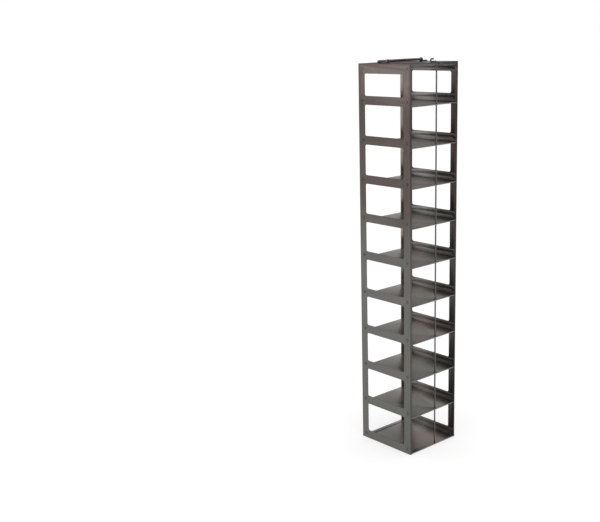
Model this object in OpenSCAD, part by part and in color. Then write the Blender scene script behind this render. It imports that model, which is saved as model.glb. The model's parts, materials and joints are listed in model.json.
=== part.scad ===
// Chest freezer rack: one column of bays for 133 mm square storage boxes.
// Folded stainless sheet throughout, riveted at every shelf, with a folding bail
// handle on top and a lift-out locking rod down the loading side.
// Origin: centre of the footprint, on the surface that the rack stands on.
// -Y is the loading side and +Z is up.

/* [Rack] */
// Outside width, across the two side panels
rack_w = 142; // [140:1:180]
// Outside depth, from the loading side to the back stops
rack_d = 144; // [140:1:180]
// Number of bays, one storage box each
bays = 10; // [4:1:14]
// Height from one shelf to the next
pitch = 81; // [60:1:110]
// Thickness of the sheet that every panel and shelf is folded from
sheet = 1.2; // [0.8:0.1:1.5]
// Inside radius of the folds
fold_in = 1.0; // [0.5:0.1:1.4]

/* [Side panels] */
// Width of the upright strip at the loading side
front_post = 18; // [16:1:26]
// Width of the upright strip at the back
rear_post = 18; // [16:1:26]
// Height of the cross bars between the windows
bar_h = 18; // [16:1:24]
// Height of the solid band above the top window
top_band = 20; // [18:1:22]
// Corner radius of the windows
window_r = 4; // [1:0.5:8]
// Width of the turned-in lip at the loading side, measured from outside
front_lip = 4; // [4:0.5:6]
// Width of the turned-in back stop, measured from outside
rear_stop = 18; // [10:1:30]

/* [Shelves] */
// Distance of the turned-up sides from the window edges, under the top plate too
side_inset = 0.5; // [0.5:0.5:3]
// Depth of the hems along the front and back edges
hem_d = 9; // [8:0.5:14]

/* [Top plate] */
// Height of its turned-down front and back edges, from the top
top_lip = 4.5; // [4:0.5:8]
// Width of the notch that the locking rod drops into
notch_w = 6; // [6:0.5:9]

/* [Rivets] */
// Shank diameter
rivet_d = 3.2; // [2.4:0.1:3.6]
// Diameter of the domed head
rivet_head_d = 5.6; // [5:0.1:6]
// Height of the domed head
rivet_head_h = 1.0; // [0.6:0.1:1.4]
// Diameter of the upset tail
rivet_tail_d = 4.6; // [4.2:0.1:5]
// Height of the upset tail
rivet_tail_h = 1.5; // [1:0.1:1.6]
// Distance of the shelf rivets from the panel's front and back edges
rivet_edge = 10; // [9:0.5:12]
// Height of the shelf rivets above the underside of their shelf
rivet_up = 9; // [8:0.5:10]

/* [Bail handle] */
// Wire diameter
bail_d = 5; // [4:0.5:5]
// Distance from the pivot to the grip's centre line
bail_leg = 36; // [30:1:44]
// Centre-line radius of the grip's two corners
bail_corner_r = 8; // [6:1:12]
// Centre-line radius of the bend into each pivot pin
bail_pin_r = 4; // [3.5:0.5:4.5]
// Distance of the pivot behind the rack's centre
pivot_y = 9; // [0:1:15]
// Height of the pivot above the top plate
pivot_h = 4.1; // [4.1:0.1:6]

/* [Lugs] */
// Thickness of the lug strip
lug_t = 1.5; // [1:0.1:1.6]
// Inside radius of the lug's fold
lug_fold = 0.5; // [0.3:0.1:0.6]
// Radius of the lug's rounded ear, and half the width of its strip
lug_r = 3.8; // [3.6:0.1:3.9]
// Distance of the foot's rounded end inside the rack's side
lug_inset = 4.5; // [4:0.5:12]
// Length of the riveted foot, measured from the ear's inner face
lug_foot = 18.5; // [18:0.5:19]
// Distance of the nearer rivet from the ear's inner face
lug_rivet_in = 8.5; // [8:0.5:9]
// Distance between the foot's two rivets
lug_rivet_gap = 6.5; // [6.5:0.5:7]

/* [Locking rod] */
// Rod diameter
rod_d = 3.2; // [2.5:0.1:3.6]
// Distance of the rod to the right of the rack's centre line
rod_x = 11; // [-30:1:30]
// Distance of the rod behind the loading side
rod_in = 5.5; // [5:0.5:6]
// Centre-line radius of the bend above the top plate
rod_bend = 3.5; // [3:0.5:3.5]
// Distance between the rod and the centre of its curled end
rod_arm = 14.6; // [12:0.2:30]
// Centre-line radius of the curl
rod_curl = 2.6; // [2.6:0.1:5]
// Straight length that follows the curl
rod_tail = 4.8; // [2:0.2:8]

/* [Fits] */
// Gap between two sheets that lie against each other
fit = 0.1; // [0.05:0.01:0.2]
// Radial clearance of each rivet in its holes
rivet_fit = 0.05; // [0.02:0.01:0.1]
// Gap under the heads and tails of the rivets
head_fit = 0.05; // [0.02:0.01:0.1]
// Radial clearance of the bail's pins in the lugs
pin_fit = 0.08; // [0.03:0.01:0.1]
// Radial clearance of the rod in the shelf holes
rod_fit = 0.35; // [0.3:0.05:0.6]
// Gap between the lugs and the bail's bends
side_gap = 0.3; // [0.2:0.05:0.5]
// Gap under a part that rests on the top plate
rest_gap = 0.3; // [0.2:0.05:0.4]

/* [Hidden] */
last_shelf = bays - 1;

// Overall
rack_h = bays * pitch + sheet;
front_y = -rack_d / 2;
back_y = rack_d / 2;
fold_out = fold_in + sheet;

// Space between the side panels, and what fits into it
inner_w = rack_w - 2 * (sheet + fit);
inner_front_y = front_y + sheet + fit;
inner_back_y = back_y - sheet - fit;
mouth_w = rack_w - 2 * (front_lip + fit);
shelf_side = bar_h - side_inset;
top_side = top_band - side_inset;

// Windows
window_d = rack_d - front_post - rear_post;
window_y = front_y + front_post + window_d / 2;
function window_bottom(k) = k * pitch + bar_h;
function window_top(k) = k == last_shelf ? rack_h - top_band : (k + 1) * pitch;

// Rivets: one level for each shelf and one for the top plate
rivet_r = rivet_d / 2;
rivet_hole_r = rivet_r + rivet_fit;
rivet_levels = concat([for (k = [0 : last_shelf]) k * pitch + rivet_up], [rack_h - top_band / 2]);
rivet_rows = [front_y + rivet_edge, back_y - rivet_edge];

// Lugs, and the bail handle between them: its pins point outwards
bail_r = bail_d / 2;
ear_x = rack_w / 2 - lug_inset - lug_foot;
leg_x = ear_x - side_gap - bail_pin_r;
pin_end_x = ear_x + lug_t + 3;
pin_hole_r = bail_r + pin_fit;
pivot_z = rack_h + pivot_h;
bail_drop = asin((pivot_h - bail_r - rest_gap) / bail_leg);

// Locking rod: its arm lies over the top plate and its foot stands in the base
rod_r = rod_d / 2;
rod_y = front_y + rod_in;
arm_z = rack_h + rest_gap + rod_r;
curl_x = rod_x - rod_arm;
foot_z = 0.3;
foot_chamfer = 0.5;
rod_hole_r = rod_r + rod_fit;

// Smoothness
$fn = 32;

steel = [0.47, 0.45, 0.44];
bright_steel = [0.62, 0.61, 0.60];
dark_steel = [0.36, 0.34, 0.33];

// Quarter ring in the corner that points to +X and +Y
module fold_2d(inner, thick) {
    intersection() {
        difference() {
            circle(r = inner + thick);
            circle(r = inner);
        }
        square(inner + thick);
    }
}

// Upright plate across X, seen along -Y: local X and Y become world X and Z
module along_y(y_from, y_to) {
    translate([0, y_to, 0])
        rotate([90, 0, 0])
            linear_extrude(y_to - y_from)
                children();
}

// Plate across YZ: local X and Y become world Y and Z
module along_x(x_from, x_to) {
    translate([x_from, 0, 0])
        rotate([90, 0, 90])
            linear_extrude(x_to - x_from)
                children();
}

module rounded_rect_2d(w, h, r) {
    square([w - 2 * r, h], center = true);
    square([w, h - 2 * r], center = true);
    for (sx = [-1, 1], sy = [-1, 1])
        translate([sx * (w / 2 - r), sy * (h / 2 - r)])
            circle(r = r);
}

// Plan of the right side panel: web, turned-in front lip and back stop
module panel_plan_2d() {
    side_x = rack_w / 2;
    bend_x = side_x - fold_out;
    translate([side_x - sheet, front_y + fold_out])
        square([sheet, rack_d - 2 * fold_out]);
    translate([bend_x, front_y + fold_out])
        mirror([0, 1])
            fold_2d(fold_in, sheet);
    translate([bend_x, back_y - fold_out])
        fold_2d(fold_in, sheet);
    translate([side_x - front_lip, front_y])
        square([front_lip - fold_out, sheet]);
    translate([side_x - rear_stop, back_y - sheet])
        square([rear_stop - fold_out, sheet]);
}

module rivet_holes() {
    for (z = rivet_levels, y = rivet_rows)
        translate([0, y, z])
            rotate([0, 90, 0])
                cylinder(h = rack_w, r = rivet_hole_r);
}

module side_panel() {
    difference() {
        linear_extrude(rack_h)
            panel_plan_2d();
        along_x(rack_w / 2 - sheet - 1, rack_w / 2 + 1)
            for (k = [0 : last_shelf]) {
                bottom = window_bottom(k);
                height = window_top(k) - bottom;
                translate([window_y, bottom + height / 2])
                    rounded_rect_2d(window_d, height, window_r);
            }
        rivet_holes();
    }
}

module side_panel_right() {
    color(steel)
        side_panel();
}

module side_panel_left() {
    color(steel)
        mirror([1, 0, 0])
            side_panel();
}

// Cross-section of a tray between the panels, floor at the bottom, sides turned up
module tray_2d(side_h) {
    bend_x = inner_w / 2 - fold_out;
    translate([-bend_x, 0])
        square([2 * bend_x, sheet]);
    for (s = [0, 1])
        mirror([s, 0]) {
            translate([bend_x, fold_out])
                mirror([0, 1])
                    fold_2d(fold_in, sheet);
            translate([inner_w / 2 - sheet, fold_out])
                square([sheet, side_h - fold_out]);
        }
}

// Edge folded back flat on itself: the second layer lies under the floor
module hem(edge_y, depth, width) {
    inward = edge_y < 0 ? 1 : -1;
    nose_y = edge_y + inward * sheet;
    far_y = edge_y + inward * depth;
    translate([-width / 2, min(nose_y, far_y), -sheet])
        cube([width, depth - sheet, 2 * sheet]);
    translate([-width / 2, nose_y, 0])
        rotate([0, 90, 0])
            cylinder(h = width, r = sheet);
}

// Hole for the locking rod
module rod_hole() {
    translate([rod_x, rod_y, -rack_h])
        cylinder(h = 3 * rack_h, r = rod_hole_r);
}

// One shelf, its floor's underside at z = 0
module shelf_blank() {
    along_y(inner_front_y, inner_back_y - sheet)
        tray_2d(shelf_side);
    translate([-mouth_w / 2, front_y + sheet, 0])
        cube([mouth_w, inner_front_y - front_y, sheet]);
}

module shelf(k) {
    color(steel)
        difference() {
            translate([0, 0, k * pitch]) {
                shelf_blank();
                hem(front_y, hem_d, mouth_w);
                hem(inner_back_y, hem_d, mouth_w);
            }
            rod_hole();
            rivet_holes();
            mirror([1, 0, 0])
                rivet_holes();
        }
}

// The lowest shelf has its hems on top, so that its underside stays flat
module base_shelf() {
    color(steel)
        difference() {
            union() {
                shelf_blank();
                translate([0, 0, sheet])
                    mirror([0, 0, 1]) {
                        hem(front_y, hem_d, mouth_w);
                        hem(inner_back_y, hem_d, mouth_w);
                    }
            }
            rod_hole();
            rivet_holes();
            mirror([1, 0, 0])
                rivet_holes();
        }
}

// Profile of the top plate from front to back, lips turned down at both ends
module lid_2d() {
    back = inner_back_y;
    translate([front_y + fold_out, -sheet])
        square([back - front_y - 2 * fold_out, sheet]);
    translate([back - fold_out, -fold_out])
        fold_2d(fold_in, sheet);
    translate([back - sheet, -top_lip])
        square([sheet, top_lip - fold_out]);
    translate([front_y + fold_out, -fold_out])
        mirror([1, 0])
            fold_2d(fold_in, sheet);
    translate([front_y, -top_lip])
        square([sheet, top_lip - fold_out]);
}

module top_plate() {
    side_back_y = inner_back_y - fold_out - fit;
    color(steel)
        difference() {
            union() {
                translate([0, 0, rack_h]) {
                    along_x(-mouth_w / 2, mouth_w / 2)
                        lid_2d();
                    mirror([0, 0, 1])
                        along_y(front_y + fold_out, side_back_y)
                            tray_2d(top_side);
                }
            }
            // Open notch for the locking rod, rounded at its inner end
            translate([rod_x, rod_y, rack_h - top_lip - 1]) {
                cylinder(h = top_lip + 2, d = notch_w);
                translate([-notch_w / 2, -2 * rod_in, 0])
                    cube([notch_w, 2 * rod_in, top_lip + 2]);
            }
            rivet_holes();
            mirror([1, 0, 0])
                rivet_holes();
            lug_rivet_places()
                translate([0, 0, -sheet - 1])
                    cylinder(h = sheet + 2, r = rivet_hole_r);
        }
}

// A blind rivet through a stack of sheet: head above z = 0, tail below -grip
module rivet(grip) {
    head_r = rivet_head_d / 2;
    dome_r = (head_r * head_r + rivet_head_h * rivet_head_h) / (2 * rivet_head_h);
    translate([0, 0, -grip - rivet_tail_h])
        cylinder(h = grip + rivet_tail_h + rivet_head_h / 2, r = rivet_r);
    translate([0, 0, head_fit])
        intersection() {
            translate([0, 0, rivet_head_h - dome_r])
                sphere(r = dome_r);
            cylinder(h = rivet_head_h + 1, r = head_r + 1);
        }
    translate([0, 0, -grip - head_fit - rivet_tail_h])
        cylinder(h = rivet_tail_h, d1 = rivet_tail_d - 1, d2 = rivet_tail_d);
}

module shelf_rivets() {
    grip = 2 * sheet + fit;
    for (z = rivet_levels, y = rivet_rows)
        translate([rack_w / 2, y, z])
            rotate([0, 90, 0])
                rivet(grip);
}

module shelf_rivets_right() {
    color(dark_steel)
        shelf_rivets();
}

module shelf_rivets_left() {
    color(dark_steel)
        mirror([1, 0, 0])
            shelf_rivets();
}

// Puts its child on top of the plate at each rivet of the lugs' feet
module lug_rivet_places() {
    for (s = [-1, 1], step = [0, 1])
        translate([s * (ear_x + lug_rivet_in + step * lug_rivet_gap), pivot_y, rack_h])
            children();
}

// Right lug: a strip folded up into a rounded ear that carries the bail's pin
module handle_lug() {
    bend_out = lug_fold + lug_t;
    difference() {
        union() {
            translate([0, 0, rack_h + fit]) {
                along_y(pivot_y - lug_r, pivot_y + lug_r) {
                    translate([ear_x + bend_out, bend_out])
                        rotate(180)
                            fold_2d(lug_fold, lug_t);
                    translate([ear_x + bend_out, 0])
                        square([lug_foot - bend_out - lug_r, lug_t]);
                    translate([ear_x, bend_out])
                        square([lug_t, pivot_h - fit - bend_out]);
                }
                translate([ear_x + lug_foot - lug_r, pivot_y, 0])
                    cylinder(h = lug_t, r = lug_r);
            }
            translate([ear_x, pivot_y, pivot_z])
                rotate([0, 90, 0])
                    cylinder(h = lug_t, r = lug_r);
        }
        translate([0, pivot_y, pivot_z])
            rotate([0, 90, 0])
                cylinder(h = rack_w, r = pin_hole_r);
        lug_rivet_places()
            cylinder(h = lug_t + 1, r = rivet_hole_r);
    }
}

module handle_lug_right() {
    color(bright_steel)
        handle_lug();
}

module handle_lug_left() {
    color(bright_steel)
        mirror([1, 0, 0])
            handle_lug();
}

module lug_rivets() {
    color(dark_steel)
        lug_rivet_places()
            translate([0, 0, fit + lug_t])
                rivet(fit + lug_t + sheet);
}

// Straight wire along +Z, and a bend about the Z axis that starts on the +X side
module wire(d, length) {
    cylinder(h = length, d = d);
}

module wire_bend(d, bend_r, turn = 90) {
    rotate_extrude(angle = turn)
        translate([bend_r, 0])
            circle(d = d);
}

// Bail lying flat: pivot axis along X through the origin, grip towards +Y
module bail_flat() {
    grip_x = leg_x - bail_corner_r;
    translate([-grip_x, bail_leg, 0])
        rotate([0, 90, 0])
            wire(bail_d, 2 * grip_x);
    for (s = [0, 1])
        mirror([s, 0, 0]) {
            translate([grip_x, bail_leg - bail_corner_r, 0])
                wire_bend(bail_d, bail_corner_r);
            translate([leg_x, bail_leg - bail_corner_r, 0])
                rotate([90, 0, 0])
                    wire(bail_d, bail_leg - bail_corner_r - bail_pin_r);
            translate([leg_x + bail_pin_r, bail_pin_r, 0])
                rotate(180)
                    wire_bend(bail_d, bail_pin_r);
            translate([leg_x + bail_pin_r, 0, 0])
                rotate([0, 90, 0])
                    wire(bail_d, pin_end_x - leg_x - bail_pin_r);
        }
}

module bail_handle() {
    color(bright_steel)
        translate([0, pivot_y, pivot_z])
            rotate([-bail_drop, 0, 0])
                bail_flat();
}

module locking_rod() {
    bend_z = arm_z - rod_bend;
    tail_z = arm_z + 2 * rod_curl;
    color(bright_steel)
        translate([0, rod_y, 0]) {
            translate([rod_x, 0, foot_z])
                cylinder(h = foot_chamfer, r1 = rod_r - foot_chamfer, r2 = rod_r);
            translate([rod_x, 0, foot_z + foot_chamfer])
                wire(rod_d, bend_z - foot_z - foot_chamfer);
            translate([rod_x - rod_bend, 0, bend_z])
                rotate([90, 0, 0])
                    wire_bend(rod_d, rod_bend);
            translate([curl_x, 0, arm_z])
                rotate([0, 90, 0])
                    wire(rod_d, rod_arm - rod_bend);
            translate([curl_x, 0, arm_z + rod_curl])
                rotate([90, 0, 0])
                    rotate(90)
                        wire_bend(rod_d, rod_curl, 180);
            translate([curl_x, 0, tail_z])
                rotate([0, 90, 0])
                    wire(rod_d, rod_tail);
            translate([curl_x + rod_tail, 0, tail_z])
                sphere(d = rod_d);
        }
}

side_panel_left();
side_panel_right();
top_plate();
base_shelf();
for (k = [1 : last_shelf])
    shelf(k);
shelf_rivets_left();
shelf_rivets_right();
handle_lug_left();
handle_lug_right();
lug_rivets();
bail_handle();
locking_rod();
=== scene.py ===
"""Freezer rack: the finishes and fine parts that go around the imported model.

Run as a script, it builds every piece and the studio around them. The operators can also be
called one at a time from the 3D view's sidebar after register().
"""

import json
import math

import bmesh
import bpy
from bpy.props import FloatProperty, FloatVectorProperty, IntProperty, PointerProperty
from bpy.types import Operator, Panel, PropertyGroup
from mathutils import Matrix, Vector


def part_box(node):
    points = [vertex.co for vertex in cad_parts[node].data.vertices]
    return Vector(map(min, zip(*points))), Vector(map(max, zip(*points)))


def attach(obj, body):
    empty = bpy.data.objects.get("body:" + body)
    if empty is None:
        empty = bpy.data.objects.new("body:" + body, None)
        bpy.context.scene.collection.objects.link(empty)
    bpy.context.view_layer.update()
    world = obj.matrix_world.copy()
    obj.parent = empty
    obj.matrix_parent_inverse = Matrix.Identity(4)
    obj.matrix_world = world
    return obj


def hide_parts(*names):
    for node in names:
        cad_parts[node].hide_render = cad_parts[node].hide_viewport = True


bl_info = {
    "name": "Freezer Rack Finisher",
    "version": (1, 0, 0),
    "blender": (4, 5, 0),
    "location": "3D View > Sidebar > Rack",
    "description": "Satin sheet, rivets and wire parts for a chest freezer rack",
    "category": "Object",
}

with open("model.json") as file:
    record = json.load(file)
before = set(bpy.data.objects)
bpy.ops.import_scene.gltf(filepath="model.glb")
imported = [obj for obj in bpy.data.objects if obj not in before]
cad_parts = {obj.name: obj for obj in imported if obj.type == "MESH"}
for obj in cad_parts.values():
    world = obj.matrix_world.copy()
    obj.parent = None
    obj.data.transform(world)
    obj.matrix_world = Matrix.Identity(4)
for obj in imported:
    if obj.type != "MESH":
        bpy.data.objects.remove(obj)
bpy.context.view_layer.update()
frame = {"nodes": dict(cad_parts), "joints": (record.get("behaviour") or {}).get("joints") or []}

MM = 0.001
RACK = "rack"
BAIL = "bail"
ROD = "rod"

SHELF_NODES = ["base_shelf"] + sorted(
    (name for name in frame["nodes"] if name.startswith("shelf_") and name[6:].isdigit()),
    key=lambda name: int(name[6:]),
)


# ---------------------------------------------------------------- sizes read from the frame

def size_of(node):
    """Lowest corner, highest corner and centre of a node."""
    low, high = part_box(node)
    return low, high, (low + high) / 2


def shelf_pitch():
    """Height from one shelf to the next."""
    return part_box(SHELF_NODES[2])[0].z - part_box(SHELF_NODES[1])[0].z


PANEL_LOW, PANEL_HIGH, _ = size_of("side_panel_right")
TOP_Z = PANEL_HIGH.z
SIDE_X = PANEL_HIGH.x
FRONT_Y = PANEL_LOW.y
BACK_Y = PANEL_HIGH.y
PITCH = shelf_pitch()

# Painted light and shade: zones in which the tone is multiplied to stand in for light, shade and
# reflections, by what share, then where. Each limit gives an axis, the place at which the zone
# sets in and the place from which it is complete. "both X" counts the distance from the middle to
# either side.
INSIDE_PANEL = ("both X", SIDE_X - 1.4 * MM, SIDE_X - 1.8 * MM)
FRONT_EDGE = ("Y", FRONT_Y + 1.2 * MM, FRONT_Y + 0.4 * MM)
RIGHT_INSIDE_HIGH = (
    INSIDE_PANEL, ("X", 0.0, 0.5 * SIDE_X), ("Z", 0.40 * TOP_Z, 0.55 * TOP_Z))
# Side panels: painted shade on the right panel and along the front edges, with more of it low
# down; painted light on the inner faces towards the back and on the right panel's inner face
# higher up.
PANEL_PAINTED_LIGHT = (
    (0.70, (("X", 0.5 * SIDE_X, SIDE_X),)),
    (0.72, (FRONT_EDGE,)),
    (0.75, (FRONT_EDGE, ("Z", 0.45 * TOP_Z, 0.28 * TOP_Z))),
    (3.20, (INSIDE_PANEL, ("Y", 0.5 * BACK_Y, 0.9 * BACK_Y),
            ("Y", BACK_Y - 0.3 * MM, BACK_Y - 0.8 * MM))),
    (1.15, RIGHT_INSIDE_HIGH),
    (1.20, (*RIGHT_INSIDE_HIGH, ("Y", 0.5 * FRONT_Y, 0.3 * BACK_Y))),
)
# Shelves: painted reflection, lighter towards the right and on the right back part of the floor;
# painted dark reflection near the front right corner; painted shade on both side flanges.
SHELF_PAINTED_LIGHT = (
    (1.42, (("X", -0.3 * SIDE_X, 0.5 * SIDE_X),)),
    (0.76, (("X", 0.45 * SIDE_X, 0.95 * SIDE_X), ("Y", 0.30 * FRONT_Y, 0.85 * FRONT_Y))),
    (1.70, (("X", 0.30 * SIDE_X, 0.80 * SIDE_X), ("Y", 0.30 * FRONT_Y, 0.20 * BACK_Y))),
    (0.48, (("both X", SIDE_X - 5 * MM, SIDE_X - 3 * MM),)),
)
# Top plate: a little lighter below its top face, and painted shade on the right half of the front
# lip.
BELOW_TOP = ("Z", TOP_Z - 0.3 * MM, TOP_Z - 0.9 * MM)
TOP_PAINTED_LIGHT = (
    (1.05, (BELOW_TOP,)),
    (0.50, (BELOW_TOP, ("X", 0.0, 0.4 * SIDE_X),
            ("Y", FRONT_Y + 2.4 * MM, FRONT_Y + 1.6 * MM))),
)


# ---------------------------------------------------------------- settings

class RackSheetSettings(PropertyGroup):
    """The folded sheet parts."""

    panel_colour: FloatVectorProperty(
        name="Panel Colour", description="Colour of the side panels",
        subtype="COLOR", size=3, min=0, max=1, default=(0.150, 0.141, 0.136))
    shelf_colour: FloatVectorProperty(
        name="Shelf Colour", description="Colour of the shelves",
        subtype="COLOR", size=3, min=0, max=1, default=(0.245, 0.226, 0.217))
    top_colour: FloatVectorProperty(
        name="Top Colour", description="Colour of the top plate",
        subtype="COLOR", size=3, min=0, max=1, default=(0.150, 0.134, 0.127))
    lug_colour: FloatVectorProperty(
        name="Lug Colour", description="Colour of the two lugs",
        subtype="COLOR", size=3, min=0, max=1, default=(0.130, 0.121, 0.117))
    panel_roughness: FloatProperty(
        name="Panel Roughness", description="How soft the reflections in the panels are",
        subtype="FACTOR", min=0, max=1, default=0.40)
    shelf_roughness: FloatProperty(
        name="Shelf Roughness", description="How soft the reflections in the shelves are",
        subtype="FACTOR", min=0, max=1, default=0.34)
    top_roughness: FloatProperty(
        name="Top Roughness", description="How soft the reflections in the top plate are",
        subtype="FACTOR", min=0, max=1, default=0.30)
    edge_round: FloatProperty(
        name="Edge Rounding", description="Radius of the deburred sheet edges",
        unit="LENGTH", min=0, max=0.0005, default=0.18 * MM)


class RackRivetSettings(PropertyGroup):
    """The blind rivets."""

    shank_radius: FloatProperty(
        name="Shank Radius", description="Radius of the rivet's shank",
        unit="LENGTH", default=1.6 * MM)
    head_radius: FloatProperty(
        name="Head Radius", description="Radius of the domed head",
        unit="LENGTH", default=2.8 * MM)
    head_height: FloatProperty(
        name="Head Height", description="Height of the domed head",
        unit="LENGTH", default=1.0 * MM)
    tail_radius: FloatProperty(
        name="Tail Radius", description="Radius of the bulb on the blind side",
        unit="LENGTH", default=2.3 * MM)
    tail_height: FloatProperty(
        name="Tail Height", description="Height of the bulb on the blind side",
        unit="LENGTH", default=1.5 * MM)
    seat_gap: FloatProperty(
        name="Seat Gap", description="Gap under the head and over the bulb",
        unit="LENGTH", default=0.05 * MM)
    lug_rivet_gap: FloatProperty(
        name="Lug Rivet Gap", description="Distance between the two rivets of a lug",
        unit="LENGTH", default=6.5 * MM)
    sides: IntProperty(
        name="Sides", description="Faces around each rivet", min=8, max=48, default=18)
    colour: FloatVectorProperty(
        name="Colour", description="Colour of the rivets",
        subtype="COLOR", size=3, min=0, max=1, default=(0.150, 0.141, 0.136))


class RackWireSettings(PropertyGroup):
    """The two parts bent from round wire."""

    bail_radius: FloatProperty(
        name="Bail Radius", description="Radius of the bail's wire",
        unit="LENGTH", default=2.5 * MM)
    bail_leg_spacing: FloatProperty(
        name="Leg Spacing", description="Distance between the centre lines of the bail's legs",
        unit="LENGTH", default=87.4 * MM)
    bail_corner: FloatProperty(
        name="Grip Corner", description="Centre-line radius of the grip's corners",
        unit="LENGTH", default=8.0 * MM)
    bail_pin_bend: FloatProperty(
        name="Pin Bend", description="Centre-line radius of the bends into the pins",
        unit="LENGTH", default=4.0 * MM)
    bail_reach: FloatProperty(
        name="Bail Reach", description="Distance from the pivot to the grip's centre line",
        unit="LENGTH", default=36.0 * MM)
    rod_radius: FloatProperty(
        name="Rod Radius", description="Radius of the locking rod",
        unit="LENGTH", default=1.6 * MM)
    rod_bend: FloatProperty(
        name="Rod Bend", description="Centre-line radius of the bend above the top plate",
        unit="LENGTH", default=3.5 * MM)
    rod_curl: FloatProperty(
        name="Rod Curl", description="Centre-line radius of the locking rod's curled end",
        unit="LENGTH", default=2.6 * MM)
    rod_tail: FloatProperty(
        name="Rod Tail", description="Straight length that follows the curl",
        unit="LENGTH", default=4.8 * MM)
    sides: IntProperty(
        name="Sides", description="Faces around the wire", min=8, max=64, default=28)
    bend_steps: IntProperty(
        name="Bend Steps", description="Points along each bend", min=2, max=32, default=12)
    bail_colour: FloatVectorProperty(
        name="Bail Colour", description="Colour of the bail's wire",
        subtype="COLOR", size=3, min=0, max=1, default=(0.155, 0.143, 0.137))
    rod_colour: FloatVectorProperty(
        name="Rod Colour", description="Colour of the locking rod",
        subtype="COLOR", size=3, min=0, max=1, default=(0.125, 0.117, 0.114))


class RackStudioSettings(PropertyGroup):
    """The floor, the light and the camera."""

    backdrop_colour: FloatVectorProperty(
        name="Backdrop Colour", description="Colour of the floor and the background",
        subtype="COLOR", size=3, min=0, max=1, default=(1.0, 1.0, 1.0))
    ambient: FloatProperty(
        name="Ambient", description="Strength of the even light from all round",
        min=0, max=2, default=0.85)
    key_power: FloatProperty(
        name="Key Power", description="Power of the large overhead softbox",
        unit="POWER", default=14.0)
    side_power: FloatProperty(
        name="Side Power", description="Power of the softbox behind and to the left",
        unit="POWER", default=3.0)
    overhead: FloatProperty(
        name="Overhead Level", description="Brightness overhead, as reflections see it",
        min=0, max=1, default=0.65)
    focal_length: FloatProperty(
        name="Focal Length", description="Focal length on a 36 mm wide sensor",
        unit="CAMERA", default=58.04)


SETTINGS = {
    "rack_sheet": RackSheetSettings,
    "rack_rivets": RackRivetSettings,
    "rack_wire": RackWireSettings,
    "rack_studio": RackStudioSettings,
}


# ---------------------------------------------------------------- node helpers

# Places of a mix node's vector sockets, which share their names with its other sockets
MIX_FIRST, MIX_SECOND, MIX_RESULT = 4, 5, 1


def add_node(tree, kind, **values):
    """New node; values set its properties, or its inputs where it has no such property."""
    node = tree.nodes.new(kind)
    for name, value in values.items():
        if hasattr(node, name):
            setattr(node, name, value)
        else:
            node.inputs[name.replace("_", " ")].default_value = value
    return node


def add_noise(tree, place, **values):
    """Noise at a place, as a number from about 0.3 to 0.7."""
    noise = add_node(tree, "ShaderNodeTexNoise", **values)
    tree.links.new(place, noise.inputs["Vector"])
    return noise.outputs["Fac"]


def add_range(tree, value, **values):
    """A value taken from one range to another and held inside it."""
    ranged = add_node(tree, "ShaderNodeMapRange", clamp=True, **values)
    tree.links.new(value, ranged.inputs["Value"])
    return ranged.outputs["Result"]


def add_math(tree, operation, first, second, **values):
    """One operation on two values."""
    result = add_node(tree, "ShaderNodeMath", operation=operation, **values)
    tree.links.new(first, result.inputs[0])
    tree.links.new(second, result.inputs[1])
    return result.outputs["Value"]


def add_scaling(tree, vector, share):
    """A colour or vector multiplied by a value."""
    scaled = add_node(tree, "ShaderNodeVectorMath", operation="SCALE")
    tree.links.new(vector, scaled.inputs[0])
    tree.links.new(share, scaled.inputs["Scale"])
    return scaled.outputs["Vector"]


def add_stretch(tree, place, **values):
    """A place scaled along each axis, and then turned."""
    stretched = add_node(tree, "ShaderNodeMapping", **values)
    tree.links.new(place, stretched.inputs["Vector"])
    return stretched.outputs["Vector"]


def add_ramp(tree, value, stops):
    """Colour ramp through two or more stops, each a position and a colour."""
    ramp = add_node(tree, "ShaderNodeValToRGB")
    elements = ramp.color_ramp.elements
    for element, (position, colour) in zip(elements, (stops[0], stops[-1])):
        element.position, element.color = position, (*colour, 1.0)
    for position, colour in stops[1:-1]:
        elements.new(position).color = (*colour, 1.0)
    tree.links.new(value, ramp.inputs["Fac"])
    return ramp.outputs["Color"]


# ---------------------------------------------------------------- steel

# Noise scales are in cells per metre
GRAIN_ACROSS, GRAIN_ALONG = 2600.0, 22.0
GRAIN_RELIEF, GRAIN_DEPTH = 0.18, 0.01 * MM
STREAK_LOW, STREAK_HIGH = 0.3, 0.7
FINE_GRAIN = 0.06

CLOUD_SCALE = 9.0
CLOUD_COOL, CLOUD_WARM = 0.40, 0.60
COOL_SHIFT = (0.94, 1.00, 0.98)
WARM_SHIFT = (1.05, 0.99, 0.98)

SMUDGE_SCALE = 34.0
SMUDGE_LOW, SMUDGE_HIGH = 0.35, 0.70

SCUFF_SCALES = (520.0, 9.0, 40.0)
SCUFF_TURN = math.radians(3.0)
SCUFF_LOW, SCUFF_HIGH = 0.66, 0.74

WAVE_SCALE, WAVE_DEPTH = 16.0, 0.25 * MM

# Painted reflection with height: how far the height and the patches of noise push it along
# the stops, and what each stop multiplies the tone by
PAINTED_REFLECTION_HEIGHT, PAINTED_REFLECTION_PATCHES = 0.8, 0.30
PAINTED_REFLECTION_PATCH_SCALE = 6.0
PAINTED_REFLECTION_LIGHT = (1.03, 1.08, 1.05)
PAINTED_REFLECTION_DARK = (0.74, 0.66, 0.64)
PAINTED_REFLECTION_WARM = (1.30, 1.14, 1.12)
PAINTED_REFLECTION_STOPS = ((0.53, PAINTED_REFLECTION_LIGHT), (0.66, PAINTED_REFLECTION_DARK), (0.84, PAINTED_REFLECTION_DARK), (0.95, PAINTED_REFLECTION_WARM))

GLANCE_TINT = (1.0, 0.98, 0.97)
RIVET_ROUGHNESS = 0.40
WIRE_ROUGHNESS = 0.34


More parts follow.
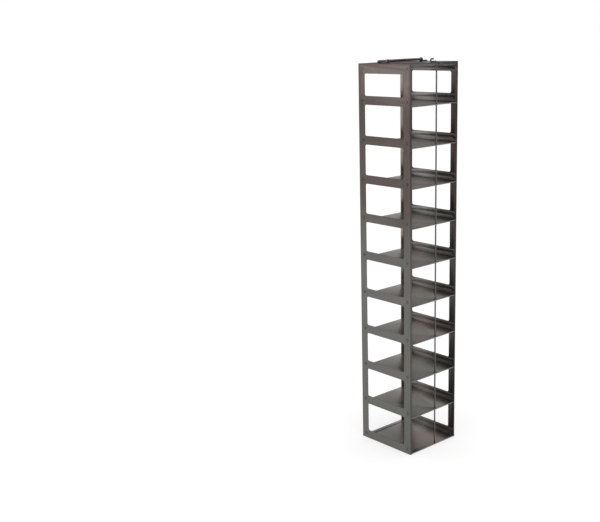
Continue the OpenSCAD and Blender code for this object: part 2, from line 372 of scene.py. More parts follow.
def painted_light_zone(tree, parts, tone, share, limits):
    """Multiplies the tone by share inside a zone, as painted light above 1 and painted shade
    below;
    parts gives the X, Y and Z of the place.
    """
    inside = None
    for axis, start, full in limits:
        spot = parts.outputs[axis[-1]]
        if axis.startswith("both"):
            distance = add_node(tree, "ShaderNodeMath", operation="ABSOLUTE")
            tree.links.new(spot, distance.inputs[0])
            spot = distance.outputs["Value"]
        edge = add_range(tree, spot, From_Min=start, From_Max=full)
        inside = edge if inside is None else add_math(tree, "MULTIPLY", inside, edge)
    factor = add_range(tree, inside, To_Min=1.0, To_Max=share)
    return add_scaling(tree, tone, factor)


def painted_height_reflection(tree, place, parts, tone, strength):
    """Painted reflection, broken up by noise: light low down, darker above, light and warm near
    the top.
    """
    link = tree.links.new
    height = add_range(tree, parts.outputs["Z"], From_Max=TOP_Z, To_Max=PAINTED_REFLECTION_HEIGHT)
    patches = add_noise(tree, place, Scale=PAINTED_REFLECTION_PATCH_SCALE, Detail=1.0)
    uneven = add_node(tree, "ShaderNodeMath", operation="MULTIPLY_ADD")
    uneven.inputs[1].default_value = PAINTED_REFLECTION_PATCHES
    link(patches, uneven.inputs[0])
    link(height, uneven.inputs[2])
    ramp = add_ramp(tree, uneven.outputs["Value"], PAINTED_REFLECTION_STOPS)
    weakened = add_node(tree, "ShaderNodeMix", data_type="VECTOR", Factor=strength)
    weakened.inputs[MIX_FIRST].default_value = (1.0, 1.0, 1.0)
    link(ramp, weakened.inputs[MIX_SECOND])
    with_reflection = add_node(tree, "ShaderNodeVectorMath", operation="MULTIPLY")
    link(tone, with_reflection.inputs[0])
    link(weakened.outputs[MIX_RESULT], with_reflection.inputs[1])
    return with_reflection.outputs["Vector"]


def steel_tone(tree, place, grain_noise, colour, grain, painted_reflection, painted_zones):
    """Colour of a steel: clouds, streaks of grain, the painted reflection with height and the
    zones of painted light and shade.
    """
    # Clouds: slow drift of tone across a sheet, as between rolled and handled areas
    cool = [channel * shift for channel, shift in zip(colour, COOL_SHIFT)]
    warm = [channel * shift for channel, shift in zip(colour, WARM_SHIFT)]
    clouds = add_noise(tree, place, Scale=CLOUD_SCALE, Detail=3.0, Roughness=0.55)
    clouded = add_ramp(tree, clouds, ((CLOUD_COOL, cool), (CLOUD_WARM, warm)))

    # Streaks: each one a little lighter or darker
    streaks = add_range(tree, grain_noise, From_Min=STREAK_LOW, From_Max=STREAK_HIGH,
                        To_Min=1.0 - grain, To_Max=1.0 + grain)
    tone = add_scaling(tree, clouded, streaks)

    parts = add_node(tree, "ShaderNodeSeparateXYZ")
    tree.links.new(place, parts.inputs["Vector"])
    # Painted reflection that changes with height
    if painted_reflection > 0:
        tone = painted_height_reflection(tree, place, parts, tone, painted_reflection)
    # Painted light and shade in zones
    for share, limits in painted_zones:
        tone = painted_light_zone(tree, parts, tone, share, limits)
    return tone


def steel_roughness(tree, place, roughness, spread, scuffs):
    """Roughness of a steel: its own level, smudges and scuffs."""
    smudges = add_noise(tree, place, Scale=SMUDGE_SCALE, Detail=4.0, Roughness=0.6)
    rough = add_range(tree, smudges, From_Min=SMUDGE_LOW, From_Max=SMUDGE_HIGH,
                      To_Min=roughness - spread / 2, To_Max=roughness + spread)
    if scuffs > 0:
        # Scuffs: sparse thin lines left by boxes sliding in and out
        lines = add_stretch(tree, place, Scale=SCUFF_SCALES, Rotation=(0.0, 0.0, SCUFF_TURN))
        lines = add_noise(tree, lines, Scale=1.0, Detail=2.0, Roughness=0.5)
        lines = add_range(tree, lines, From_Min=SCUFF_LOW, From_Max=SCUFF_HIGH, To_Max=scuffs)
        rough = add_math(tree, "ADD", rough, lines, use_clamp=True)
    return rough


def steel_relief(tree, place, grain_noise, waviness):
    """Relief of a steel: the faint waviness of thin sheet, and the grain itself."""
    link = tree.links.new
    waves = add_noise(tree, place, Scale=WAVE_SCALE, Detail=1.0)
    wavy = add_node(tree, "ShaderNodeBump", Strength=waviness, Distance=WAVE_DEPTH)
    link(waves, wavy.inputs["Height"])
    relief = add_node(tree, "ShaderNodeBump", Strength=GRAIN_RELIEF, Distance=GRAIN_DEPTH)
    link(grain_noise, relief.inputs["Height"])
    link(wavy.outputs["Normal"], relief.inputs["Normal"])
    return relief.outputs["Normal"]


def new_material(name):
    material = bpy.data.materials.new(name)
    material.use_nodes = True
    material.node_tree.nodes.clear()
    return material


def steel(name, colour, roughness, grain_axis,
          spread=0.05, grain=0.10, scuffs=0.0, glance=0.75, painted_reflection=0.0, painted_zones=(), waviness=0.20):
    """Rolled or drawn stainless steel: fine grain along one axis, soft clouding, light scuffs.

    spread is how far smudges change the roughness, grain how much the streaks change the tone,
    glance how bright the steel gets where it is seen at a flat angle, painted_reflection how
    strongly a painted reflection changes its tone with height, and painted_zones where painted
    light and shade are laid on.
    """
    material = new_material(name)
    tree = material.node_tree
    link = tree.links.new
    place = add_node(tree, "ShaderNodeTexCoord").outputs["Object"]

    # Grain: noise drawn out along the rolling direction
    scales = [GRAIN_ACROSS] * 3
    scales["XYZ".index(grain_axis)] = GRAIN_ALONG
    grain_noise = add_noise(
        tree, add_stretch(tree, place, Scale=scales), Scale=1.0, Detail=3.0, Roughness=0.6)

    shader = add_node(tree, "ShaderNodeBsdfPrincipled", Metallic=1.0)
    shader.inputs["Specular Tint"].default_value = (*[glance * c for c in GLANCE_TINT], 1.0)
    link(steel_tone(tree, place, grain_noise, colour, grain, painted_reflection, painted_zones),
         shader.inputs["Base Color"])
    link(steel_roughness(tree, place, roughness, spread, scuffs), shader.inputs["Roughness"])
    link(steel_relief(tree, place, grain_noise, waviness), shader.inputs["Normal"])
    output = add_node(tree, "ShaderNodeOutputMaterial")
    link(shader.outputs["BSDF"], output.inputs["Surface"])
    return material


# ---------------------------------------------------------------- mesh helpers

MERGE_DISTANCE = 0.002 * MM
FLAT_ANGLE = math.radians(0.5)
CUT_EDGE_ANGLE = math.radians(40)


def new_object(name, data):
    piece = bpy.data.objects.new(name, data)
    bpy.context.scene.collection.objects.link(piece)
    return piece


def settle(piece):
    """Turns a piece with live modifiers into one plain mesh."""
    bpy.context.view_layer.update()
    graph = bpy.context.evaluated_depsgraph_get()
    mesh = bpy.data.meshes.new_from_object(piece.evaluated_get(graph))
    piece.modifiers.clear()
    spare = piece.data
    piece.data = mesh
    mesh.name = piece.name
    bpy.data.meshes.remove(spare)


def deburred_sheet(node, name, material, edge_round):
    """A sheet part: the node's own shape with its cut edges rounded over."""
    mesh = bpy.data.meshes.new(name)
    shape = bmesh.new()
    shape.from_mesh(frame["nodes"][node].data)
    bmesh.ops.remove_doubles(shape, verts=shape.verts, dist=MERGE_DISTANCE)
    bmesh.ops.dissolve_limit(
        shape, angle_limit=FLAT_ANGLE, verts=shape.verts, edges=shape.edges)
    for face in shape.faces:
        face.smooth = True
        face.material_index = 0
    shape.to_mesh(mesh)
    shape.free()
    mesh.materials.append(material)
    piece = new_object(name, mesh)
    bevel = piece.modifiers.new("Deburr", "BEVEL")
    bevel.width = edge_round
    bevel.segments = 2
    bevel.limit_method = "ANGLE"
    bevel.angle_limit = CUT_EDGE_ANGLE
    bevel.harden_normals = True
    settle(piece)
    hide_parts(node)
    return piece


def new_tree(name, inputs):
    """Geometry node tree with named inputs, each a label and a kind of socket, and their ends."""
    tree = bpy.data.node_groups.new(name, "GeometryNodeTree")
    for label, kind in inputs:
        tree.interface.new_socket(label, in_out="INPUT", socket_type=f"NodeSocket{kind}")
    tree.interface.new_socket("Geometry", in_out="OUTPUT", socket_type="NodeSocketGeometry")
    return tree, add_node(tree, "NodeGroupInput").outputs


def end_tree(tree, geometry, material):
    """Last steps of a tree: instances made real and the material set."""
    link = tree.links.new
    real = add_node(tree, "GeometryNodeRealizeInstances")
    link(geometry, real.inputs["Geometry"])
    painted = add_node(tree, "GeometryNodeSetMaterial")
    link(real.outputs["Geometry"], painted.inputs["Geometry"])
    link(material, painted.inputs["Material"])
    output = add_node(tree, "NodeGroupOutput")
    link(painted.outputs["Geometry"], output.inputs["Geometry"])


def run_tree(piece, tree, values):
    """Gives a piece a tree with its inputs set by identifier, and keeps the result as a mesh."""
    modifier = piece.modifiers.new(tree.name, "NODES")
    modifier.node_group = tree
    for socket in tree.interface.items_tree:
        if socket.in_out == "INPUT" and socket.name in values:
            modifier[socket.identifier] = values[socket.name]
    settle(piece)


# ---------------------------------------------------------------- rivets

SHARP_ANGLE = math.radians(38)

# Shape of a rivet, in shares of its own sizes. A depth is counted down from the top of the
# head or the bulb, and a rise up from its foot.
ROUND_STEPS = 4
BORE_RADIUS, BORE_MOUTH, BORE_LIP_DEPTH, BORE_DEPTH = 0.62, 1.15, 0.08, 0.50
PIN_RADIUS, PIN_TOP_RADIUS, PIN_EDGE_DEPTH, PIN_MIDDLE_DEPTH = 0.48, 0.92, 0.30, 0.26
RIM_RADIUS, RIM_RISE = 0.97, 0.12
BULB_FULLNESS, BULB_RISE = 0.7, 0.7
BULB_SHOULDER_RADIUS, BULB_SHOULDER_DEPTH, BULB_TOP_RADIUS = 0.98, 0.1, 0.90


def rivet_outline(sizes, grip):
    """Blind rivet: bulb at the bottom, domed head on top with the snapped pin in its middle."""
    bulb_high = -grip - sizes.seat_gap
    bulb_low = bulb_high - sizes.tail_height
    head_low = sizes.seat_gap
    head_high = head_low + sizes.head_height
    bore = sizes.shank_radius * BORE_RADIUS
    pin = sizes.shank_radius * PIN_RADIUS
    outline = [(0, bulb_low)]
    for i in range(1, ROUND_STEPS + 1):
        turn = math.radians(90 * i / ROUND_STEPS)
        outline.append((
            sizes.tail_radius * math.sin(turn) ** BULB_FULLNESS,
            bulb_low + sizes.tail_height * BULB_RISE * (1 - math.cos(turn))))
    outline += [
        (sizes.tail_radius * BULB_SHOULDER_RADIUS,
         bulb_high - sizes.tail_height * BULB_SHOULDER_DEPTH),
        (sizes.tail_radius * BULB_TOP_RADIUS, bulb_high),
        (sizes.shank_radius, bulb_high),
        (sizes.shank_radius, head_low),
        (sizes.head_radius * RIM_RADIUS, head_low),
        (sizes.head_radius, head_low + sizes.head_height * RIM_RISE)]
    for i in range(1, ROUND_STEPS + 1):
        share = i / ROUND_STEPS
        radius = sizes.head_radius + (bore * BORE_MOUTH - sizes.head_radius) * share
        dome = math.sqrt(1 - ((radius - bore) / sizes.head_radius) ** 2)
        rise = RIM_RISE + (1 - RIM_RISE) * dome
        outline.append((radius, head_low + sizes.head_height * rise))
    outline += [
        (bore, head_high - sizes.head_height * BORE_LIP_DEPTH),
        (bore, head_high - sizes.head_height * BORE_DEPTH),
        (pin, head_high - sizes.head_height * BORE_DEPTH),
        (pin * PIN_TOP_RADIUS, head_high - sizes.head_height * PIN_EDGE_DEPTH),
        (0, head_high - sizes.head_height * PIN_MIDDLE_DEPTH)]
    return outline


def lathe(name, outline, sides):
    """Closed solid of revolution about Z. The outline runs from the axis back to the axis."""
    shape = bmesh.new()
    angles = [2 * math.pi * i / sides for i in range(sides)]
    rings = []
    for radius, height in outline:
        if radius == 0:
            rings.append([shape.verts.new((0, 0, height))])
            continue
        rings.append([
            shape.verts.new((radius * math.cos(a), radius * math.sin(a), height))
            for a in angles])
    for below, above in zip(rings, rings[1:]):
        for i in range(sides):
            j = (i + 1) % sides
            corners = [below[i % len(below)], below[j % len(below)],
                       above[j % len(above)], above[i % len(above)]]
            # At the axis two corners are one point, and the face is a triangle
            shape.faces.new(list(dict.fromkeys(corners)))
    bmesh.ops.recalc_face_normals(shape, faces=shape.faces)
    for face in shape.faces:
        face.smooth = True
    mesh = bpy.data.meshes.new(name)
    shape.to_mesh(mesh)
    shape.free()
    mesh.set_sharp_from_angle(angle=SHARP_ANGLE)
    return mesh


def rivet_pattern(sizes, grip):
    """One rivet for the rows to repeat; grip is the thickness that it holds together."""
    return new_object(
        "rivet_pattern", lathe("rivet_pattern", rivet_outline(sizes, grip), sizes.sides))


def rivet_row_tree(name):
    """Node tree: a ladder of points, one rivet on each."""
    tree, given = new_tree(name, (
        ("Rivet", "Object"), ("Levels", "Int"), ("First Level", "Vector"),
        ("Level Step", "Vector"), ("Last Level", "Vector"), ("Row Step", "Vector"),
        ("Rows", "Int"), ("Turn", "Rotation"), ("Material", "Material")))
    link = tree.links.new

    levels = add_node(tree, "GeometryNodeMeshLine", mode="OFFSET")
    link(given["Levels"], levels.inputs["Count"])
    link(given["First Level"], levels.inputs["Start Location"])
    link(given["Level Step"], levels.inputs["Offset"])
    last = add_node(tree, "GeometryNodeMeshLine", mode="OFFSET", Count=1)
    link(given["Last Level"], last.inputs["Start Location"])
    ladder = add_node(tree, "GeometryNodeJoinGeometry")
    link(levels.outputs["Mesh"], ladder.inputs["Geometry"])
    link(last.outputs["Mesh"], ladder.inputs["Geometry"])

    row = add_node(tree, "GeometryNodeMeshLine", mode="OFFSET")
    link(given["Rows"], row.inputs["Count"])
    link(given["Row Step"], row.inputs["Offset"])
    spread = add_node(tree, "GeometryNodeInstanceOnPoints")
    link(ladder.outputs["Geometry"], spread.inputs["Points"])
    link(row.outputs["Mesh"], spread.inputs["Instance"])
    places = add_node(tree, "GeometryNodeRealizeInstances")
    link(spread.outputs["Instances"], places.inputs["Geometry"])

    source = add_node(tree, "GeometryNodeObjectInfo")
    link(given["Rivet"], source.inputs["Object"])
    rivets = add_node(tree, "GeometryNodeInstanceOnPoints")
    link(places.outputs["Geometry"], rivets.inputs["Points"])
    link(source.outputs["Geometry"], rivets.inputs["Instance"])
    link(given["Turn"], rivets.inputs["Rotation"])
    end_tree(tree, rivets.outputs["Instances"], given["Material"])
    return tree


# ---------------------------------------------------------------- wire

# Names of what each corner of a wire carries into its tree
BEND = "bend_radius"
TAPER = "taper"

END_ANGLES = (12, 30, 50, 70, 90)
END_MERGE_DISTANCE = 0.001 * MM
BAIL_END_ROUND = 0.5 * MM
ROD_END_ROUND = 1.1 * MM


def carried(tree, name):
    """The number that each point carries under a name."""
    named = add_node(tree, "GeometryNodeInputNamedAttribute", data_type="FLOAT", Name=name)
    return named.outputs["Attribute"]


def wire_tree(name):
    """Node tree: a chain of straight lines becomes round wire with a bend at each corner."""
    tree, given = new_tree(name, (
        ("Geometry", "Geometry"), ("Wire Radius", "Float"), ("Sides", "Int"),
        ("Bend Steps", "Int"), ("Material", "Material")))
    link = tree.links.new

    route = add_node(tree, "GeometryNodeMeshToCurve")
    link(given["Geometry"], route.inputs["Mesh"])
    bent = add_node(tree, "GeometryNodeFilletCurve", mode="POLY")
    link(route.outputs["Curve"], bent.inputs["Curve"])
    link(given["Bend Steps"], bent.inputs["Count"])
    link(carried(tree, BEND), bent.inputs["Radius"])
    section = add_node(tree, "GeometryNodeCurvePrimitiveCircle", mode="RADIUS")
    link(given["Sides"], section.inputs["Resolution"])
    link(given["Wire Radius"], section.inputs["Radius"])
    swept = add_node(tree, "GeometryNodeCurveToMesh", Fill_Caps=True)
    link(bent.outputs["Curve"], swept.inputs["Curve"])
    link(section.outputs["Curve"], swept.inputs["Profile Curve"])
    link(carried(tree, TAPER), swept.inputs["Scale"])
    smooth = add_node(tree, "GeometryNodeSetShadeSmooth")
    link(swept.outputs["Mesh"], smooth.inputs["Geometry"])
    end_tree(tree, smooth.outputs["Geometry"], given["Material"])
    return tree


def rounded_end(tip, inward, radius):
    """Extra stations that round a wire's end over: (point, bend radius, taper)."""
    stations = []
    for degrees in END_ANGLES:
        turn = math.radians(degrees)
        depth = radius * (1 - math.cos(turn))
        stations.append((tip + inward * depth, 0.0, math.sin(turn)))
    return stations


def wire_piece(name, corners, radius, material, settings, end_round):
    """Round wire through corners, each a point and its bend radius, with rounded ends."""
    first, last = corners[0][0], corners[-1][0]
    start = rounded_end(first, (corners[1][0] - first).normalized(), end_round)
    finish = rounded_end(last, (corners[-2][0] - last).normalized(), end_round)
    # A small end radius leaves a flat middle, as on a cropped wire
    flat = 1 - end_round / radius
    stations = [(p, b, flat + (1 - flat) * t) for p, b, t in start]
    stations += [(p, b, 1.0) for p, b in corners[1:-1]]
    stations += [(p, b, flat + (1 - flat) * t) for p, b, t in reversed(finish)]
    points, bends, tapers = zip(*stations)
    mesh = bpy.data.meshes.new(name)
    mesh.from_pydata(points, [(i, i + 1) for i in range(len(points) - 1)], [])
    for label, numbers in ((BEND, bends), (TAPER, tapers)):
        mesh.attributes.new(label, "FLOAT", "POINT").data.foreach_set("value", numbers)
    piece = new_object(name, mesh)
    run_tree(piece, wire_tree(name + "_tree"), {
        "Wire Radius": radius, "Sides": settings.sides,
        "Bend Steps": settings.bend_steps, "Material": material})
    for label in (BEND, TAPER):
        piece.data.attributes.remove(piece.data.attributes[label])
    face_outwards(piece.data)
    return piece


def face_outwards(mesh):
    """Merges coincident points and points every face of a closed shape outwards."""
    shape = bmesh.new()
    shape.from_mesh(mesh)
    bmesh.ops.remove_doubles(shape, verts=shape.verts, dist=END_MERGE_DISTANCE)
    bmesh.ops.recalc_face_normals(shape, faces=shape.faces)
    shape.to_mesh(mesh)
    shape.free()


# ---------------------------------------------------------------- studio

WHITE = (1.0, 1.0, 1.0, 1.0)

FLOOR_REACH = 60.0
FLOOR_DROP = 0.2 * MM
# What the paper gives off and sends back where it is seen, and what it sends back elsewhere
SEEN_GLOW, SEEN_SHADE, UNSEEN_SHADE = 0.58, 0.52, 0.8

# Upward part of a ray's direction at which the backdrop begins and ends its fall to grey
FADE_LOW, FADE_HIGH = 0.05, 0.22

OVERHEAD_SIZE, OVERHEAD_PLACE = 3.2, (-1.0, -0.8, 3.4)
SIDE_SIZE, SIDE_PLACE = 1.6, (-2.2, 1.6, 0.5)

SENSOR_WIDTH = 36.0
CAMERA_PLACE = (-1.4666, -1.3676, 0.8838)
CAMERA_AZIMUTH = math.radians(-40.4335)
CAMERA_ELEVATION = math.radians(13.5253)
CAMERA_ROLL = math.radians(-1.6149)


def seen_by_eye_or_mirror(tree):
    """1 for camera, glossy and transmission rays, 0 for the rest."""
    path = add_node(tree, "ShaderNodeLightPath").outputs
    either = add_math(tree, "MAXIMUM", path["Is Camera Ray"], path["Is Glossy Ray"])
    return add_math(tree, "MAXIMUM", either, path["Is Transmission Ray"])


def split_by_ray(tree, unseen, seen):
    """One shader for the rays that see a surface, and another for the rest."""
    choice = add_node(tree, "ShaderNodeMixShader")
    tree.links.new(seen_by_eye_or_mirror(tree), choice.inputs["Fac"])
    tree.links.new(unseen, choice.inputs[1])
    tree.links.new(seen, choice.inputs[2])
    return choice.outputs["Shader"]


def matt(tree, colour, share):
    """Matt paper that sends back a share of a colour."""
    paper = add_node(tree, "ShaderNodeBsdfDiffuse", Color=(*[share * c for c in colour], 1.0))
    return paper.outputs["BSDF"]


def floor_material(colour):
    """White paper: bright where it is seen, and still able to take a soft shadow."""
    material = new_material("studio_paper")
    tree = material.node_tree
    link = tree.links.new
    glow = add_node(tree, "ShaderNodeEmission", Strength=SEEN_GLOW, Color=(*colour, 1.0))
    bright = add_node(tree, "ShaderNodeAddShader")
    link(glow.outputs["Emission"], bright.inputs[0])
    link(matt(tree, colour, SEEN_SHADE), bright.inputs[1])
    output = add_node(tree, "ShaderNodeOutputMaterial")
    link(split_by_ray(tree, matt(tree, colour, UNSEEN_SHADE), bright.outputs["Shader"]),
         output.inputs["Surface"])
    return material


def studio_world(colour, ambient, overhead):
    """Even light all round, behind a backdrop that is white to the eye.

    In reflections the backdrop falls off from white at floor level to grey overhead.
    """
    world = bpy.data.worlds.new("studio_world")
    world.use_nodes = True
    tree = world.node_tree
    tree.nodes.clear()
    link = tree.links.new

    heading = add_node(tree, "ShaderNodeTexCoord")
    parts = add_node(tree, "ShaderNodeSeparateXYZ")
    link(heading.outputs["Generated"], parts.inputs["Vector"])
    fade = add_range(tree, parts.outputs["Z"], interpolation_type="SMOOTHSTEP",
                     From_Min=FADE_LOW, From_Max=FADE_HIGH, To_Min=1.0, To_Max=overhead)
    path = add_node(tree, "ShaderNodeLightPath")
    level = add_math(tree, "MAXIMUM", fade, path.outputs["Is Camera Ray"])
    dimmed = add_node(tree, "ShaderNodeVectorMath", operation="SCALE")
    dimmed.inputs[0].default_value = colour
    link(level, dimmed.inputs["Scale"])

    even = add_node(tree, "ShaderNodeBackground", Strength=ambient, Color=WHITE)
    backdrop = add_node(tree, "ShaderNodeBackground", Strength=1.0)
    link(dimmed.outputs["Vector"], backdrop.inputs["Color"])
    output = add_node(tree, "ShaderNodeOutputWorld")
    link(split_by_ray(tree, even.outputs["Background"], backdrop.outputs["Background"]),
         output.inputs["Surface"])
    return world


def studio_floor(colour):
    """Large sheet of paper just under the rack."""
    mesh = bpy.data.meshes.new("studio_floor")
    corners = [(x * FLOOR_REACH, y * FLOOR_REACH, -FLOOR_DROP)
               for x, y in ((-1, -1), (1, -1), (1, 1), (-1, 1))]
    mesh.from_pydata(corners, [], [(0, 1, 2, 3)])
    mesh.materials.append(floor_material(colour))
    return mesh


def softbox(name, power, size, place, target):
    """Large square lamp aimed at a point."""
    lamp = bpy.data.lights.new(name, "AREA")
    lamp.energy = power
    lamp.shape = "SQUARE"
    lamp.size = size
    holder = new_object(name, lamp)
    holder.location = place
    aim = Vector(target) - Vector(place)
    holder.rotation_euler = aim.to_track_quat("-Z", "Y").to_euler()


def studio_camera(focal_length):
    """Camera that looks down at the rack from its front left, rolled a little."""
    camera = bpy.data.cameras.new("studio_camera")
    camera.sensor_fit = "HORIZONTAL"
    camera.sensor_width = SENSOR_WIDTH
    camera.lens = focal_length
    holder = new_object("studio_camera", camera)
    back = Vector((
        math.sin(CAMERA_AZIMUTH) * math.cos(CAMERA_ELEVATION),
        -math.cos(CAMERA_AZIMUTH) * math.cos(CAMERA_ELEVATION),
        math.sin(CAMERA_ELEVATION)))
    right = Vector((math.cos(CAMERA_AZIMUTH), math.sin(CAMERA_AZIMUTH), 0.0))
    up = back.cross(right)
    rolled_right = right * math.cos(CAMERA_ROLL) + up * math.sin(CAMERA_ROLL)
    rolled_up = up * math.cos(CAMERA_ROLL) - right * math.sin(CAMERA_ROLL)
    pose = Matrix((rolled_right, rolled_up, back)).transposed().to_4x4()
    pose.translation = Vector(CAMERA_PLACE)
    holder.matrix_world = pose
    return holder


# ---------------------------------------------------------------- operators

class RACK_OT_side_panels(Operator):
    """Make the two windowed side panels"""

    bl_idname = "rack.side_panels"
    bl_label = "Side Panels"

    def execute(self, context):
        sheet = context.scene.rack_sheet
        # Painted reflection with height, and painted light and shade in zones
        satin = steel("panel_satin", sheet.panel_colour, sheet.panel_roughness, "Z",
                      painted_reflection=1.0, painted_zones=PANEL_PAINTED_LIGHT)
        for side in ("left", "right"):
            node = f"side_panel_{side}"
            panel = deburred_sheet(node, f"{node}_sheet", satin, sheet.edge_round)
            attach(panel, RACK)
        return {"FINISHED"}


class RACK_OT_shelves(Operator):
    """Make the lowest shelf and every shelf above it"""

    bl_idname = "rack.shelves"
    bl_label = "Shelves"

    def execute(self, context):
        sheet = context.scene.rack_sheet
        # A little painted reflection with height, and painted light and shade in zones
        rolled = steel("shelf_rolled", sheet.shelf_colour, sheet.shelf_roughness, "Y",
                       scuffs=0.10, painted_reflection=0.20, painted_zones=SHELF_PAINTED_LIGHT)
        for node in SHELF_NODES:
            shelf = deburred_sheet(node, f"{node}_sheet", rolled, sheet.edge_round)
            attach(shelf, RACK)
        return {"FINISHED"}


class RACK_OT_top_plate(Operator):
    """Make the top plate"""

    bl_idname = "rack.top_plate"
    bl_label = "Top Plate"

    def execute(self, context):
        sheet = context.scene.rack_sheet
        # Painted light and shade in zones
        satin = steel("top_satin", sheet.top_colour, sheet.top_roughness, "X",
                      spread=0.02, scuffs=0.06, glance=0.42, painted_zones=TOP_PAINTED_LIGHT, waviness=0.05)
        plate = deburred_sheet("top_plate", "top_plate_sheet", satin, sheet.edge_round)
        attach(plate, RACK)
        return {"FINISHED"}


class RACK_OT_lugs(Operator):
    """Make the two lugs that carry the bail"""

    bl_idname = "rack.lugs"
    bl_label = "Lugs"

    def execute(self, context):
        sheet = context.scene.rack_sheet
        strip = steel("lug_satin", sheet.lug_colour, sheet.panel_roughness, "X")
        for side in ("left", "right"):
            node = f"handle_lug_{side}"
            lug = deburred_sheet(node, f"{node}_strip", strip, sheet.edge_round)
            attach(lug, RACK)
        return {"FINISHED"}


class RACK_OT_rivets(Operator):
    """Rivet the shelves, the top plate and the lugs"""

    bl_idname = "rack.rivets"
    bl_label = "Rivets"

    def execute(self, context):
        sizes = context.scene.rack_rivets
        # Painted reflection with height, and the panels' painted shade on the right side
        dull = steel("rivet_dull", sizes.colour, RIVET_ROUGHNESS, "Z",
                     grain=FINE_GRAIN, painted_reflection=1.0, painted_zones=PANEL_PAINTED_LIGHT[:1])
        tree = rivet_row_tree("rivet_rows")
        reach = sizes.head_height + sizes.seat_gap

        low, high, _ = size_of("shelf_rivets_right")
        grip = (high.x - low.x) - reach - sizes.seat_gap - sizes.tail_height
        bottom = low.z + sizes.head_radius
        top = high.z - sizes.head_radius
        row_gap = (high.y - low.y) - 2 * sizes.head_radius
        source = rivet_pattern(sizes, grip)
        for side, sign in (("left", -1), ("right", 1)):
            node = f"shelf_rivets_{side}"
            face_x = sign * (high.x - reach)
            rivets = new_object(f"{node}_set", bpy.data.meshes.new(f"{node}_set"))
            run_tree(rivets, tree, {
                "Rivet": source,
                "Levels": len(SHELF_NODES),
                "First Level": (face_x, low.y + sizes.head_radius, bottom),
                "Level Step": (0.0, 0.0, PITCH),
                "Last Level": (face_x, low.y + sizes.head_radius, top),
                "Rows": 2,
                "Row Step": (0.0, row_gap, 0.0),
                "Turn": (0.0, sign * math.radians(90), 0.0),
                "Material": dull})
            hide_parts(node)
            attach(rivets, RACK)
        bpy.data.objects.remove(source)

        low, high, middle = size_of("lug_rivets")
        grip = (high.z - low.z) - reach - sizes.seat_gap - sizes.tail_height
        outer_x = high.x - sizes.head_radius
        step = sizes.lug_rivet_gap
        source = rivet_pattern(sizes, grip)
        rivets = new_object("lug_rivets_set", bpy.data.meshes.new("lug_rivets_set"))
        seat_z = high.z - reach
        run_tree(rivets, tree, {
            "Rivet": source,
            "Levels": 1,
            "First Level": (-outer_x, middle.y, seat_z),
            "Level Step": (0.0, 0.0, 0.0),
            "Last Level": (outer_x - step, middle.y, seat_z),
            "Rows": 2,
            "Row Step": (step, 0.0, 0.0),
            "Turn": (0.0, 0.0, 0.0),
            "Material": dull})
        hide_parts("lug_rivets")
        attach(rivets, RACK)
        bpy.data.objects.remove(source)
        return {"FINISHED"}


class RACK_OT_bail(Operator):
    """Bend the folding bail handle"""

    bl_idname = "rack.bail"
    bl_label = "Bail Handle"

    def execute(self, context):
        wire = context.scene.rack_wire
        bright = steel("bail_drawn", wire.bail_colour, WIRE_ROUGHNESS, "X", grain=FINE_GRAIN)
        joint = next(j for j in frame["joints"] if j["child"] == BAIL)
        pivot = Vector(joint["pos_m"])
        pin_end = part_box("bail_handle")[1].x
        leg = wire.bail_leg_spacing / 2
        # The bail lies tilted, so that its grip rests just above the plate
        droop = math.radians((joint["range_deg"][1] - 180) / 2)
        lean = Matrix.Rotation(-droop, 3, "X")

        def at(x, reach):
            return pivot + lean @ Vector((x, reach, 0.0))

        corners = [
            (at(-pin_end, 0), 0.0),
            (at(-leg, 0), wire.bail_pin_bend),
            (at(-leg, wire.bail_reach), wire.bail_corner),
            (at(leg, wire.bail_reach), wire.bail_corner),
            (at(leg, 0), wire.bail_pin_bend),
            (at(pin_end, 0), 0.0)]
        bail = wire_piece(
            "bail_handle_wire", corners, wire.bail_radius, bright, wire, BAIL_END_ROUND)
        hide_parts("bail_handle")
        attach(bail, BAIL)
        return {"FINISHED"}


class RACK_OT_locking_rod(Operator):
    """Bend the locking rod"""

    bl_idname = "rack.locking_rod"
    bl_label = "Locking Rod"

    def execute(self, context):
        wire = context.scene.rack_wire
        bright = steel("rod_drawn", wire.rod_colour, WIRE_ROUGHNESS, "Z", grain=FINE_GRAIN)
        low, high, middle = size_of("locking_rod")
        rod_x = high.x - wire.rod_radius
        curl_x = low.x + wire.rod_radius
        tail_end_x = curl_x + wire.rod_curl + wire.rod_tail + wire.rod_radius
        tail_z = high.z - wire.rod_radius
        arm_z = tail_z - 2 * wire.rod_curl
        corners = [
            (Vector((rod_x, middle.y, low.z)), 0.0),
            (Vector((rod_x, middle.y, arm_z)), wire.rod_bend),
            (Vector((curl_x, middle.y, arm_z)), wire.rod_curl),
            (Vector((curl_x, middle.y, tail_z)), wire.rod_curl),
            (Vector((tail_end_x, middle.y, tail_z)), 0.0)]
        rod = wire_piece(
            "locking_rod_wire", corners, wire.rod_radius, bright, wire, ROD_END_ROUND)
        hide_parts("locking_rod")
        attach(rod, ROD)
        return {"FINISHED"}


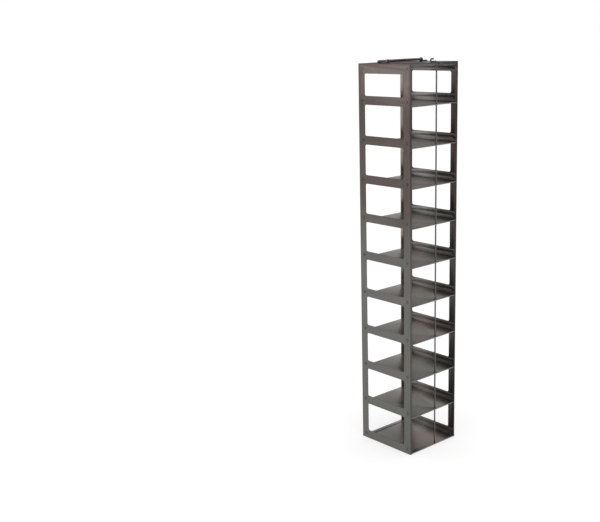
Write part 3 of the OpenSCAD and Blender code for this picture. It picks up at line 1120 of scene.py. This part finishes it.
class RACK_OT_studio(Operator):
    """Set the floor, the light and the camera"""

    bl_idname = "rack.studio"
    bl_label = "Studio"

    def execute(self, context):
        scene = context.scene
        studio = scene.rack_studio
        colour = studio.backdrop_colour
        mesh = studio_floor(colour)
        new_object("studio_floor", mesh)
        scene.world = studio_world(colour, studio.ambient, studio.overhead)
        middle = (0.0, 0.0, TOP_Z / 2)
        softbox("overhead_softbox", studio.key_power, OVERHEAD_SIZE, OVERHEAD_PLACE, middle)
        softbox("side_softbox", studio.side_power, SIDE_SIZE, SIDE_PLACE, middle)
        scene.camera = studio_camera(studio.focal_length)
        scene.view_settings.view_transform = "Standard"
        return {"FINISHED"}


# ---------------------------------------------------------------- sidebar and registration

STEPS = (
    RACK_OT_side_panels,
    RACK_OT_shelves,
    RACK_OT_top_plate,
    RACK_OT_lugs,
    RACK_OT_rivets,
    RACK_OT_bail,
    RACK_OT_locking_rod,
    RACK_OT_studio,
)


class RACK_PT_sidebar(Panel):
    """Buttons for each step and the settings that they use"""

    bl_idname = "RACK_PT_sidebar"
    bl_label = "Freezer Rack"
    bl_space_type = "VIEW_3D"
    bl_region_type = "UI"
    bl_category = "Rack"

    def draw(self, context):
        layout = self.layout
        for group_name, group_class in SETTINGS.items():
            box = layout.box()
            group = getattr(context.scene, group_name)
            for name in group_class.__annotations__:
                box.prop(group, name)
        for step in STEPS:
            layout.operator(step.bl_idname)


CLASSES = (*SETTINGS.values(), *STEPS, RACK_PT_sidebar)


def register():
    for item in CLASSES:
        bpy.utils.register_class(item)
    for name, group in SETTINGS.items():
        setattr(bpy.types.Scene, name, PointerProperty(type=group))


def unregister():
    for name in SETTINGS:
        delattr(bpy.types.Scene, name)
    for item in reversed(CLASSES):
        bpy.utils.unregister_class(item)


def main():
    register()
    for step in STEPS:
        section, action = step.bl_idname.split(".")
        result = getattr(getattr(bpy.ops, section), action)()
        if result != {"FINISHED"}:
            raise RuntimeError(f"{step.bl_idname} did not finish")


if __name__ == "__main__":
    main()
